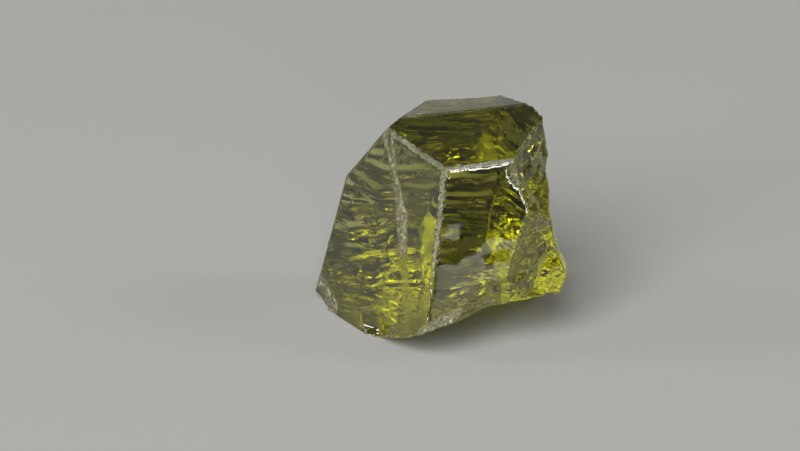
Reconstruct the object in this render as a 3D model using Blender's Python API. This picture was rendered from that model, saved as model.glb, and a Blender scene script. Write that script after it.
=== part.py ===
"""Raw demantoid garnet: one broken crystal, 8 mm across, lying on its broken underside.

The upper and left-hand sides are natural crystal faces that meet in worn ridges. The right-hand side,
the back and the underside are conchoidal fractures, the dished and rippled breaks of a glassy mineral.
+Z is up, the origin is the middle of the base, and the stone's front faces -Y.
"""

import math

import bmesh
import bpy
from mathutils import Matrix, Vector, noise

MM = 0.001

# All lengths below are in millimetres and all angles in degrees.
# A face is (azimuth, elevation, distance): the way it looks out, and how far it lies from the heart.
# Azimuth 0 looks out to the front, 90 to the right and -90 to the left.
# Places are measured from a point 3.30 below the heart. The base lies at BASE_LEVEL, and BASE_MIDDLE is the
# middle of the finished base.
HEART = Vector((0.0, 0.0, 3.30))
BASE_LEVEL = -0.22
BASE_MIDDLE = Vector((0.01, 0.51, BASE_LEVEL))
ROUGH_WIDTH = 8.8
ROUGH_DEPTH = 7.6
ROUGH_HEIGHT = 8.0

CRYSTAL_FACES = {
    "top": (-18.5, 69.0, 3.13),
    "front": (0.0, 13.0, 2.14),
    "left_front": (-44.5, 13.4, 1.65),
    "left": (-54.3, 9.7, 1.66),
    "back_top": (-123.0, 81.9, 3.67),
    "back_left_top": (-123.0, 37.9, 3.35),
    "back_left": (-116.7, 13.3, 3.60),
}

# Worn ridges: the two faces, the width of the worn strip, and how much it widens per millimetre downwards.
WORN_RIDGES = [
    ("top", "left_front", 0.13, 0.0),
    ("top", "front", 0.10, 0.0),
    ("front", "left_front", 0.13, -0.02),
    ("left_front", "left", 0.27, 0.05),
    ("top", "back_top", 0.09, 0.0),
    ("left", "back_left_top", 0.09, 0.0),
    ("left", "back_left", 0.08, 0.0),
]

# Flat breaks at the foot: a point on each and the way it looks out.
FLAT_BREAKS = {
    "toe_break": ((-1.482, -1.913, 0.332), (-8.0, -60.0)),
    "corner_break": ((-4.016, 1.748, 0.042), (-83.0, -50.0)),
}

# The surface of a fracture: the step of its grid, the uneven lumps all over it, and how far the lumps
# push its ripples out of true.
GRAIN = 0.20
LUMP_HEIGHT = 0.08
LUMP_SPACING = 1.3
RIPPLE_WANDER = 0.6
CUTTER_DEPTH = 7.0

# Large fractures: where each is deepest, the way it looks out, the half-width that it covers, the radius
# of its hollow, the spacing and height of its ripples, and the point that they spread from, as
# (across, up) on its own surface.
FRACTURES = {
    "right_break": ((2.92, -0.70, 5.80), (58, 18), 5.0, 6.0, 1.3, 0.03, (-1.0, 5.0)),
    "lobe_front": ((3.10, -1.50, 2.90), (38, 2), 3.4, 9.0, 1.4, 0.09, (-2.5, 2.0)),
    "lobe_side": ((3.56, 0.00, 3.70), (88, 11), 5.6, 9.0, 1.5, 0.05, (1.0, 4.0)),
    "lobe_tip": ((3.86, -0.10, 1.50), (84, -24), 2.4, 12.0, 0.8, 0.04, (0.0, 3.0)),
    "back_right": ((2.70, 1.05, 4.60), (128, 5), 6.0, 20.0, 1.2, 0.05, (3.0, 5.0)),
    "back_upper": ((0.60, 2.25, 4.95), (174, 14), 5.0, 10.0, 1.0, 0.07, (0.0, 8.0)),
    "back_lower": ((-0.40, 3.22, 1.80), (-175, 0), 5.2, 14.0, 0.9, 0.09, (1.0, 7.0)),
    "underside": ((1.20, -1.00, 0.95), (39, -62), 4.8, 14.0, 1.2, 0.05, (-4.0, 1.0)),
    "front_dish": ((1.50, -2.22, 2.20), (20, -22), 1.8, 2.2, 0.7, 0.02, (0.0, 2.0)),
}

# Small scoops and chips: the middle of each and its three radii.
SCOOPS = {
    "lobe_groove": ((2.45, -2.55, 3.55), (0.22, 0.40, 1.05)),
    "ridge_hollow": ((2.44, -1.72, 6.05), (0.34, 0.30, 0.44)),
    "ridge_chip": ((3.02, -1.75, 5.25), (0.22, 0.26, 0.34)),
    "apex_chip": ((-1.78, 0.30, 6.62), (0.20, 0.26, 0.16)),
    "corner_chip": ((-4.46, 0.74, -0.02), (0.84, 1.24, 1.06)),
    "foot_chip": ((-3.22, -1.78, 0.36), (1.60, 1.60, 1.60)),
}
SCOOP_LUMP = 0.22

GARNET_GREEN = (0.33, 0.36, 0.04, 1.0)
GARNET_IOR = 1.888


def outward(azimuth, elevation):
    """The unit vector that looks out at these angles."""
    turn = math.radians(azimuth)
    tilt = math.radians(elevation)
    return Vector((math.sin(turn) * math.cos(tilt), -math.cos(turn) * math.cos(tilt), math.sin(tilt)))


def crystal_plane(name):
    """(point, normal) of a crystal face."""
    azimuth, elevation, distance = CRYSTAL_FACES[name]
    normal = outward(azimuth, elevation)
    return HEART + normal * distance, normal


def ridge_plane(first, second, width, widening):
    """(point, normal) of the strip worn along the edge of two crystal faces."""
    point_a, normal_a = crystal_plane(first)
    point_b, normal_b = crystal_plane(second)
    along = normal_a.cross(normal_b).normalized()
    if along.z > 0:
        along.negate()
    rows = Matrix((normal_a, normal_b, along))
    on_edge = rows.inverted() @ Vector((normal_a @ point_a, normal_b @ point_b, along @ HEART))
    bisector = (normal_a + normal_b).normalized()
    depth_per_width = math.tan(normal_a.angle(normal_b) / 2) / 2
    normal = (bisector + along * widening * depth_per_width).normalized()
    return on_edge - bisector * width * depth_per_width, normal


def slice_off(bm, point, normal):
    """Cuts away what lies beyond a plane and closes the cut."""
    geometry = bm.verts[:] + bm.edges[:] + bm.faces[:]
    cut = bmesh.ops.bisect_plane(
        bm, geom=geometry, dist=1e-6, plane_co=point, plane_no=normal, clear_outer=True
    )
    rim = [item for item in cut["geom_cut"] if isinstance(item, bmesh.types.BMEdge)]
    if rim:
        bmesh.ops.contextual_create(bm, geom=rim)


def add_object(name, bm, collection):
    """A new object in metres from a bmesh in millimetres."""
    bmesh.ops.recalc_face_normals(bm, faces=bm.faces[:])
    if bm.calc_volume(signed=True) < 0:
        bmesh.ops.reverse_faces(bm, faces=bm.faces[:])
    bm.transform(Matrix.Scale(MM, 4))
    mesh = bpy.data.meshes.new(name)
    bm.to_mesh(mesh)
    bm.free()
    obj = bpy.data.objects.new(name, mesh)
    collection.objects.link(obj)
    return obj


def crystal_block(collection):
    """The whole crystal before it broke: a block cut back to its natural faces and worn ridges."""
    bm = bmesh.new()
    size = Matrix.Diagonal((ROUGH_WIDTH, ROUGH_DEPTH, ROUGH_HEIGHT, 1.0))
    middle = Matrix.Translation((0.0, 0.0, BASE_LEVEL + ROUGH_HEIGHT / 2))
    bmesh.ops.create_cube(bm, size=1.0, matrix=middle @ size)
    for name in CRYSTAL_FACES:
        slice_off(bm, *crystal_plane(name))
    for ridge in WORN_RIDGES:
        slice_off(bm, *ridge_plane(*ridge))
    for point, look in FLAT_BREAKS.values():
        slice_off(bm, Vector(point), outward(*look))
    return add_object("demantoid_crystal", bm, collection)


def lump(point, seed):
    """Uneven height of a broken surface at a point, from -1 to 1."""
    return noise.noise(point / LUMP_SPACING + Vector((seed * 7.3, seed * 3.1, seed * 5.7)))


def fracture_cutter(name, seed, collection):
    """A block whose lower side is the dished and rippled shape of one large fracture."""
    place, look, reach, hollow, spacing, height, strike = FRACTURES[name]
    bm = bmesh.new()
    segments = round(2 * reach / GRAIN)
    bmesh.ops.create_grid(bm, x_segments=segments, y_segments=segments, size=reach)
    origin = Vector((*strike, 0.0))
    for vert in bm.verts:
        flat = vert.co.copy()
        dish = flat.length_squared / (2 * hollow)
        uneven = lump(flat, seed)
        phase = (flat - origin).length / spacing + RIPPLE_WANDER * uneven
        ripple = math.sin(2 * math.pi * phase) * (0.5 + lump(flat * 0.6, seed + 0.5))
        vert.co.z = dish + height * ripple + LUMP_HEIGHT * uneven
    border = [edge for edge in bm.edges if edge.is_boundary]
    raised = bmesh.ops.extrude_edge_only(bm, edges=border)["geom"]
    for vert in raised:
        if isinstance(vert, bmesh.types.BMVert):
            vert.co.z = CUTTER_DEPTH
    bmesh.ops.holes_fill(bm, edges=[edge for edge in bm.edges if edge.is_boundary])
    normal = outward(*look)
    across = Vector((math.cos(math.radians(look[0])), math.sin(math.radians(look[0])), 0.0))
    turn = Matrix((across, normal.cross(across), normal)).transposed().to_4x4()
    bm.transform(Matrix.Translation(Vector(place)) @ turn)
    return add_object(name, bm, collection)


def scoop_cutter(name, seed, collection):
    """An uneven ball that takes a small scoop or chip out of the stone."""
    place, radii = SCOOPS[name]
    bm = bmesh.new()
    bmesh.ops.create_icosphere(bm, subdivisions=4, radius=1.0)
    for vert in bm.verts:
        vert.co *= 1.0 + SCOOP_LUMP * lump(vert.co * 2, seed)
    bm.transform(Matrix.Translation(Vector(place)) @ Matrix.Diagonal((*radii, 1.0)))
    return add_object(name, bm, collection)


def garnet_material():
    """Yellow-green glassy garnet."""
    material = bpy.data.materials.new("demantoid_garnet")
    material.use_nodes = True
    shader = material.node_tree.nodes["Principled BSDF"]
    shader.inputs["Base Color"].default_value = GARNET_GREEN
    shader.inputs["Roughness"].default_value = 0.05
    shader.inputs["Metallic"].default_value = 0.0
    shader.inputs["IOR"].default_value = GARNET_IOR
    shader.inputs["Transmission Weight"].default_value = 1.0
    material.diffuse_color = GARNET_GREEN
    return material


def main():
    for obj in list(bpy.data.objects):
        bpy.data.objects.remove(obj, do_unlink=True)
    stone_parts = bpy.data.collections.new("Raw demantoid garnet")
    cutters = bpy.data.collections.new("Cutters")
    for collection in (stone_parts, cutters):
        bpy.context.scene.collection.children.link(collection)
    origin = bpy.data.objects.new("raw_demantoid", None)
    origin.location = -BASE_MIDDLE * MM
    stone_parts.objects.link(origin)
    crystal = crystal_block(stone_parts)
    crystal.data.materials.append(garnet_material())
    made = [fracture_cutter(name, seed, cutters) for seed, name in enumerate(FRACTURES)]
    made += [scoop_cutter(name, seed, cutters) for seed, name in enumerate(SCOOPS)]
    for obj in (crystal, *made):
        obj.parent = origin
    for cutter in made:
        cutter.hide_render = True
        cutter.display_type = "WIRE"
        cut = crystal.modifiers.new(cutter.name, "BOOLEAN")
        cut.operation = "DIFFERENCE"
        cut.solver = "EXACT"
        cut.object = cutter


main()
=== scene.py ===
"""Raw demantoid garnet lying on a pale floor under soft studio light.

The stone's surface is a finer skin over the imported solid. Its fractures are smoothed between the solid's
facets and then rippled, its ridges are rounded and etched, and its crystal faces keep their planes.
Lengths are in millimetres until the skin is written back in metres.
"""

import math

import bmesh
import bpy
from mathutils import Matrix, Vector, noise
from mathutils.bvhtree import BVHTree
from mathutils.kdtree import KDTree


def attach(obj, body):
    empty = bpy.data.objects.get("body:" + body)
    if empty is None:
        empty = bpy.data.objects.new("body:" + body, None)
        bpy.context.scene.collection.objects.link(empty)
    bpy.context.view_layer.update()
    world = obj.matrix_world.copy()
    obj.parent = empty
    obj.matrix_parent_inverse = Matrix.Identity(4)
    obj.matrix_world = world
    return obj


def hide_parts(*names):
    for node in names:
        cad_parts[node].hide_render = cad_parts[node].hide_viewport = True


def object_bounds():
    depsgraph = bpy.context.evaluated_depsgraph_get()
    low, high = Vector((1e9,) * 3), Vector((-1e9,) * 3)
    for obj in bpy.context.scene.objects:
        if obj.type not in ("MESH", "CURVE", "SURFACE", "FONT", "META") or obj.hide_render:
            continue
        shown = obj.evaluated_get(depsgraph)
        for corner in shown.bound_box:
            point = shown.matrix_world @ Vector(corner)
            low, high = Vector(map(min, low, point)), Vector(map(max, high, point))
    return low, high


MM = 0.001
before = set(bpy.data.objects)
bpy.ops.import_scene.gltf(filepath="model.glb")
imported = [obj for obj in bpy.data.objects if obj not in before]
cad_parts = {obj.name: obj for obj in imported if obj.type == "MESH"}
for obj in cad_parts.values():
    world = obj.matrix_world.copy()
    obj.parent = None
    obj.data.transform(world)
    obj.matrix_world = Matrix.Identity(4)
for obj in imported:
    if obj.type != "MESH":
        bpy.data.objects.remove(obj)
solid_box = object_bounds()

# The skin's mesh: cells of about 0.05 mm, a sixth of a millimetre across the finest ripple.
SKIN_DEPTH = 8
SKIN_SCALE = 0.6

# A flat patch of the solid wider than this is a crystal face, and a narrower one is a worn ridge.
FLAT_AREA = 0.12
RIDGE_THICKNESS = 0.33
SAME_PLANE = math.radians(1.5)
ARRIS_ANGLE = math.radians(28)

# Fractures: rounds of smoothing, also of their arrises, how far from an arris the relief starts, and the ripples that spread
# from each blow, as the point of the blow, the spacing and the height.
SMOOTH_ROUNDS = 14
ARRIS_ROUNDS = 4
RELIEF_START = 0.16
BLOWS = {
    "right": ((1.6, -2.6, 9.5), 0.46, 0.010),
    "back_right": ((4.5, 3.0, 11.0), 0.48, 0.024),
    "back": ((-0.5, 4.0, 14.0), 0.40, 0.034),
    "under": ((-3.5, -4.0, -1.5), 0.50, 0.020),
}
LUMP = (0.34, 0.007)
SWELL = (1.1, 0.022)

# Crystal faces: the faint unevenness of natural growth.
GROWTH = (0.8, 0.0024)

# Worn ridges: rounding, and the size and depth of the etch pits.
RIDGE_ROUNDS = 6
PIT = (0.12, 0.030)
WORN_FROST = 0.90

# Where the frost is stronger than this, the surface is a crust of etch pits and no longer see-through.
CRUST = 0.76

# Frosted lines: the points that each follows, its half-width at both ends and its strength.
FROST_LINES = {
    "apex": (((-1.74, -0.18, 6.35), (-1.72, 0.05, 6.80)), (0.15, 0.20), 1.0),
    "left_ridge": (((-1.74, -0.18, 6.35), (-1.39, -0.97, 5.25), (-1.16, -1.47, 4.42), (-1.20, -1.73, 3.30)), (0.09, 0.24), 1.0),
    "right_ridge": (((2.77, -1.09, 6.76), (2.52, -1.61, 6.55), (2.26, -1.96, 6.30), (2.36, -2.04, 6.01)), (0.07, 0.16), 0.95),
    "right_hollow": (((2.36, -2.04, 6.01), (2.61, -1.88, 5.72), (3.06, -1.82, 5.02), (3.16, -1.97, 4.77)), (0.13, 0.07), 0.95),
    "corner": (((-3.95, 1.30, 0.76), (-3.79, 0.97, 0.56), (-3.45, 0.50, 0.20)), (0.40, 0.44), 0.95),
    "toe": (((-2.65, -0.60, 0.62), (-2.19, -1.14, 0.98), (-1.67, -1.78, 0.76), (-1.42, -2.28, 0.72)), (0.07, 0.05), 0.6),
    "base_rim": (((-0.60, -3.15, 1.05), (0.15, -3.13, 1.62), (0.63, -3.10, 1.85)), (0.24, 0.12), 0.9),
    "lobe_foot": (((0.63, -3.10, 1.85), (1.11, -2.79, 1.89), (1.59, -2.59, 1.94)), (0.12, 0.16), 0.9),
}


def linear(hex_colour):
    """An sRGB hex colour as linear RGBA."""
    channels = [int(hex_colour[i : i + 2], 16) / 255 for i in (1, 3, 5)]
    return tuple(c / 12.92 if c <= 0.04045 else ((c + 0.055) / 1.055) ** 2.4 for c in channels) + (1.0,)


def add(tree, kind, settings=(), links=()):
    """A shader node with its settings and the links into it."""
    node = tree.nodes.new(kind)
    for name, value in dict(settings).items():
        if isinstance(name, int) or name in node.inputs:
            node.inputs[name].default_value = value
        else:
            setattr(node, name, value)
    for name, source in dict(links).items():
        tree.links.new(source, node.inputs[name])
    return node


def new_material(name):
    """An empty material and its node tree."""
    material = bpy.data.materials.new(name)
    material.use_nodes = True
    material.node_tree.nodes.clear()
    return material, material.node_tree


def uneven(point, size, seed):
    """Smooth noise from -1 to 1 with lumps of this size."""
    return noise.noise(point / size + Vector((seed * 7.3, seed * 3.1, seed * 5.7)))


def packed_solid(node):
    """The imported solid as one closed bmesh, in millimetres."""
    bm = bmesh.new()
    bm.from_mesh(node.data)
    bmesh.ops.remove_doubles(bm, verts=bm.verts[:], dist=1e-7)
    bmesh.ops.scale(bm, vec=(1 / MM,) * 3, verts=bm.verts[:])
    bm.faces.ensure_lookup_table()
    return bm


def kinds_of_surface(solid):
    """For each polygon of the solid: crystal, ridge or fracture."""
    kinds = ["fracture"] * len(solid.faces)
    seen = set()
    for start in solid.faces:
        if start.index in seen:
            continue
        patch = [start]
        seen.add(start.index)
        for face in patch:
            for edge in face.edges:
                for other in edge.link_faces:
                    if other.index not in seen and other.normal.angle(start.normal, 9.0) < SAME_PLANE:
                        seen.add(other.index)
                        patch.append(other)
        area = sum(face.calc_area() for face in patch)
        if area < FLAT_AREA:
            continue
        inside = set(patch)
        rim = 0.0
        for face in patch:
            for edge in face.edges:
                if sum(other in inside for other in edge.link_faces) == 1:
                    rim += edge.calc_length()
        kind = "ridge" if 2 * area / rim < RIDGE_THICKNESS else "crystal"
        if start.normal.z < -0.99:
            kind = "base"
        for face in patch:
            kinds[face.index] = kind
    return kinds


def fine_skin(solid):
    """The same shape in small even cells that keep its sharp edges."""
    rough = bpy.data.meshes.new("rough_skin")
    solid.to_mesh(rough)
    holder = bpy.data.objects.new("rough_skin", rough)
    bpy.context.scene.collection.objects.link(holder)
    cells = holder.modifiers.new("cells", "REMESH")
    cells.mode = "SHARP"
    cells.octree_depth = SKIN_DEPTH
    cells.scale = SKIN_SCALE
    cells.sharpness = 1.0
    cells.use_remove_disconnected = False
    mesh = bpy.data.meshes.new_from_object(holder.evaluated_get(bpy.context.evaluated_depsgraph_get()))
    bpy.data.objects.remove(holder)
    skin = bmesh.new()
    skin.from_mesh(mesh)
    skin.verts.ensure_lookup_table()
    return skin


def smooth(skin, verts, rounds):
    for _ in range(rounds):
        bmesh.ops.smooth_vert(skin, verts=verts, factor=0.5, use_axis_x=True, use_axis_y=True, use_axis_z=True)


def blow_for(normal):
    """The blow that broke a fracture that looks this way."""
    azimuth = math.degrees(math.atan2(normal.x, -normal.y))
    if normal.z < -0.55:
        return "under"
    if 0 < azimuth < 108:
        return "right"
    if 0 < azimuth < 150:
        return "back_right"
    return "back"


def fracture_relief(point, normal, name):
    """Height of the ripples and lumps at a point of a fracture."""
    place, spacing, height = BLOWS[name]
    phase = (point - Vector(place)).length / spacing + 0.8 * uneven(point, 1.4, 1)
    strength = 0.75 + 0.7 * uneven(point, 1.2, 2)
    ripple = math.sin(2 * math.pi * phase) * height * max(0.0, strength)
    return ripple + LUMP[1] * uneven(point, LUMP[0], 3) + SWELL[1] * uneven(point, SWELL[0], 4)


def frost_at(point):
    """How strongly the frosted lines etch a point, from 0 to 1."""
    veil = 0.0
    for path, (start, end), strength in FROST_LINES.values():
        steps = len(path) - 1
        for k in range(steps):
            first, second = Vector(path[k]), Vector(path[k + 1])
            along = second - first
            share = min(max((point - first).dot(along) / along.length_squared, 0.0), 1.0)
            width = start + (end - start) * (k + share) / steps
            reach = 1.0 - (point - first - along * share).length / width
            if reach > 0:
                veil = max(veil, strength * min(1.0, 2.5 * reach))
    return veil


def stone_skin(node):
    """The stone's own surface, with how frosted it is at each point."""
    solid = packed_solid(node)
    kinds = kinds_of_surface(solid)
    surface = BVHTree.FromBMesh(solid)
    skin = fine_skin(solid)
    kind_of = [kinds[surface.find_nearest(vert.co)[2]] for vert in skin.verts]
    on_arris = set()
    for edge in skin.edges:
        if not edge.is_manifold or edge.calc_face_angle(0.0) > ARRIS_ANGLE:
            on_arris.update(vert.index for vert in edge.verts)
    fractured = [v for v in skin.verts if kind_of[v.index] == "fracture" and v.index not in on_arris]
    smooth(skin, fractured, SMOOTH_ROUNDS)
    smooth(skin, [skin.verts[i] for i in sorted(on_arris) if kind_of[i] == "fracture"], ARRIS_ROUNDS)
    worn = [v for v in skin.verts if kind_of[v.index] == "ridge"]
    near_worn = {v.index for v in worn}
    for vert in worn:
        near_worn.update(edge.other_vert(vert).index for edge in vert.link_edges)
    smooth(skin, [skin.verts[i] for i in near_worn if kind_of[i] != "base"], RIDGE_ROUNDS)
    skin.normal_update()

    arris_tree = KDTree(max(1, len(on_arris)))
    for k, index in enumerate(on_arris):
        arris_tree.insert(skin.verts[index].co, k)
    arris_tree.balance()
    worn_tree = KDTree(len(worn))
    for k, vert in enumerate(worn):
        worn_tree.insert(vert.co, k)
    worn_tree.balance()

    frost = []
    moves = []
    for vert in skin.verts:
        point = vert.co
        kind = kind_of[vert.index]
        from_arris = arris_tree.find(point)[2]
        from_worn = worn_tree.find(point)[2]
        veil = WORN_FROST * max(0.0, 1.0 - from_worn / 0.03) * min(1.0, max(0.15, (point.z - 2.6) / 1.2))
        veil = max(veil, 0.45 * max(0.0, 1.0 - from_arris / 0.05), frost_at(point))
        veil = min(1.0, veil * (0.80 + 0.45 * uneven(point, 0.12, 9)))
        height = 0.0
        if kind == "fracture":
            fade = min(1.0, from_arris / RELIEF_START)
            height = fade * fracture_relief(point, vert.normal, blow_for(vert.normal))
        elif kind == "crystal":
            height = GROWTH[1] * uneven(point, GROWTH[0], 5)
        elif kind == "base":
            fade = min(1.0, from_arris / RELIEF_START)
            height = min(0.0, fade * (fracture_relief(point, vert.normal, "under") - 0.02))
        if kind != "base":
            height += veil * PIT[1] * (uneven(point, PIT[0], 6) - 0.35)
        frost.append(veil)
        moves.append(vert.normal * height)
    low, high = (Vector(corner) / MM for corner in solid_box)
    for vert, move in zip(skin.verts, moves):
        place = vert.co + move
        vert.co = [min(max(place[i], low[i]), high[i]) for i in range(3)]
    for face in skin.faces:
        face.smooth = True
        face.material_index = int(sum(frost[vert.index] for vert in face.verts) / len(face.verts) > CRUST)
    bmesh.ops.scale(skin, vec=(MM,) * 3, verts=skin.verts[:])
    mesh = bpy.data.meshes.new("garnet_stone")
    skin.to_mesh(mesh)
    skin.free()
    mesh.attributes.new("frost", "FLOAT", "POINT").data.foreach_set("value", frost)
    mesh.set_sharp_from_angle(angle=math.radians(32))
    stone = bpy.data.objects.new("garnet_stone", mesh)
    bpy.context.scene.collection.objects.link(stone)
    return stone


def demantoid():
    """Natural demantoid garnet, clear and glassy on its faces and breaks and etched matt on its ridges."""
    material, tree = new_material("natural_demantoid_garnet")
    frost = add(tree, "ShaderNodeAttribute", {"attribute_name": "frost"})
    places = add(tree, "ShaderNodeTexCoord")
    grit = add(
        tree,
        "ShaderNodeTexNoise",
        {"Scale": 11000.0, "Detail": 3.0, "Roughness": 0.65},
        {"Vector": places.outputs["Object"]},
    )
    matt = add(
        tree,
        "ShaderNodeMath",
        {"operation": "MULTIPLY_ADD", 1: 0.80, 2: 0.004},
        {0: frost.outputs["Fac"]},
    )
    bump = add(
        tree,
        "ShaderNodeBump",
        {"Distance": 0.00012},
        {"Height": grit.outputs["Fac"], "Strength": frost.outputs["Fac"]},
    )
    shader = add(
        tree,
        "ShaderNodeBsdfPrincipled",
        {"Base Color": (1, 1, 1, 1), "IOR": 1.888, "Transmission Weight": 1.0},
        {"Roughness": matt.outputs[0], "Normal": bump.outputs[0]},
    )
    depth = add(tree, "ShaderNodeVolumeAbsorption", {"Color": linear("#e5e562"), "Density": 700.0})
    add(tree, "ShaderNodeOutputMaterial", (), {"Surface": shader.outputs[0], "Volume": depth.outputs[0]})
    return material


def etched_crust():
    """Garnet crusted with etch pits, which scatter the light so that it looks pale, dull and grainy."""
    material, tree = new_material("etched_garnet")
    places = add(tree, "ShaderNodeTexCoord")
    grit = add(
        tree,
        "ShaderNodeTexNoise",
        {"Scale": 9000.0, "Detail": 3.0, "Roughness": 0.7},
        {"Vector": places.outputs["Object"]},
    )
    tint = add(tree, "ShaderNodeValToRGB", (), {"Fac": grit.outputs["Fac"]})
    tint.color_ramp.elements[0].position = 0.38
    tint.color_ramp.elements[0].color = linear("#38341d")
    tint.color_ramp.elements[1].position = 0.62
    tint.color_ramp.elements[1].color = linear("#7f7b62")
    bump = add(tree, "ShaderNodeBump", {"Distance": 0.00003, "Strength": 0.8}, {"Height": grit.outputs["Fac"]})
    shader = add(
        tree,
        "ShaderNodeBsdfPrincipled",
        {"Roughness": 0.85, "IOR": 1.5},
        {"Base Color": tint.outputs["Color"], "Normal": bump.outputs[0]},
    )
    add(tree, "ShaderNodeOutputMaterial", (), {"Surface": shader.outputs[0]})
    return material


def studio_floor():
    bm = bmesh.new()
    bmesh.ops.create_grid(bm, x_segments=1, y_segments=1, size=1.5)
    mesh = bpy.data.meshes.new("floor")
    bm.to_mesh(mesh)
    bm.free()
    floor = bpy.data.objects.new("floor", mesh)
    bpy.context.scene.collection.objects.link(floor)
    floor.location.z = -0.02 * MM
    material, tree = new_material("matt_paper")
    shader = add(tree, "ShaderNodeBsdfPrincipled", {"Base Color": linear("#8e8e8e"), "Roughness": 0.95})
    add(tree, "ShaderNodeOutputMaterial", (), {"Surface": shader.outputs[0]})
    mesh.materials.append(material)


def room_light(strength):
    world = bpy.data.worlds.new("room")
    bpy.context.scene.world = world
    world.use_nodes = True
    world.node_tree.nodes["Background"].inputs["Color"].default_value = linear("#e4e2dc")
    world.node_tree.nodes["Background"].inputs["Strength"].default_value = strength


def towards(azimuth, elevation):
    """The unit vector that looks out at these angles, azimuth 0 to the front and 90 to the right."""
    turn, tilt = math.radians(azimuth), math.radians(elevation)
    return Vector((math.sin(turn) * math.cos(tilt), -math.cos(turn) * math.cos(tilt), math.sin(tilt)))


def softbox(name, azimuth, elevation, distance, size, radiance):
    light = bpy.data.lights.new(name, "AREA")
    light.shape = "RECTANGLE"
    light.size, light.size_y = size
    light.energy = radiance * math.pi * size[0] * size[1]
    light.color = linear("#fffefa")[:3]
    lamp = bpy.data.objects.new(name, light)
    out = towards(azimuth, elevation)
    lamp.location = out * distance
    lamp.rotation_mode = "QUATERNION"
    lamp.rotation_quaternion = out.to_track_quat("Z", "Y")
    lamp.visible_camera = False
    bpy.context.scene.collection.objects.link(lamp)


def look_through(azimuth, elevation, lens, aim, width):
    """A camera that shows this width of the scene at the point it looks at."""
    data = bpy.data.cameras.new("camera")
    camera = bpy.data.objects.new("camera", data)
    bpy.context.scene.collection.objects.link(camera)
    data.sensor_width = 36
    data.lens = lens
    data.clip_start = 0.001
    out = towards(azimuth, elevation)
    camera.location = (Vector(aim) + out * width * lens / 36) * MM
    camera.rotation_mode = "QUATERNION"
    camera.rotation_quaternion = out.to_track_quat("Z", "Y")
    bpy.context.scene.camera = camera


stone = stone_skin(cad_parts["demantoid_crystal"])
stone.data.materials.append(demantoid())
stone.data.materials.append(etched_crust())
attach(stone, "root")
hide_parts("demantoid_crystal")

studio_floor()
room_light(0.15)
softbox("key_lamp", -18, 43, 0.6, (0.46, 0.36), 12.2)
softbox("front_strip", 5, 8, 0.6, (0.15, 0.12), 11.0)
softbox("low_lamp", -50, 11, 0.6, (0.20, 0.14), 13.0)
softbox("left_lamp", -88, 24, 0.6, (0.14, 0.14), 12.0)
softbox("side_lamp", 84, 36, 0.6, (0.16, 0.16), 8.0)
softbox("back_card", 176, 17, 0.6, (0.36, 0.20), 0.45)
look_through(0, 26, 250, (-1.29, -0.51, 3.59), 25.6)

scene = bpy.context.scene
scene.view_settings.view_transform = "Standard"
scene.cycles.max_bounces = 24
scene.cycles.transmission_bounces = 24
scene.cycles.glossy_bounces = 12
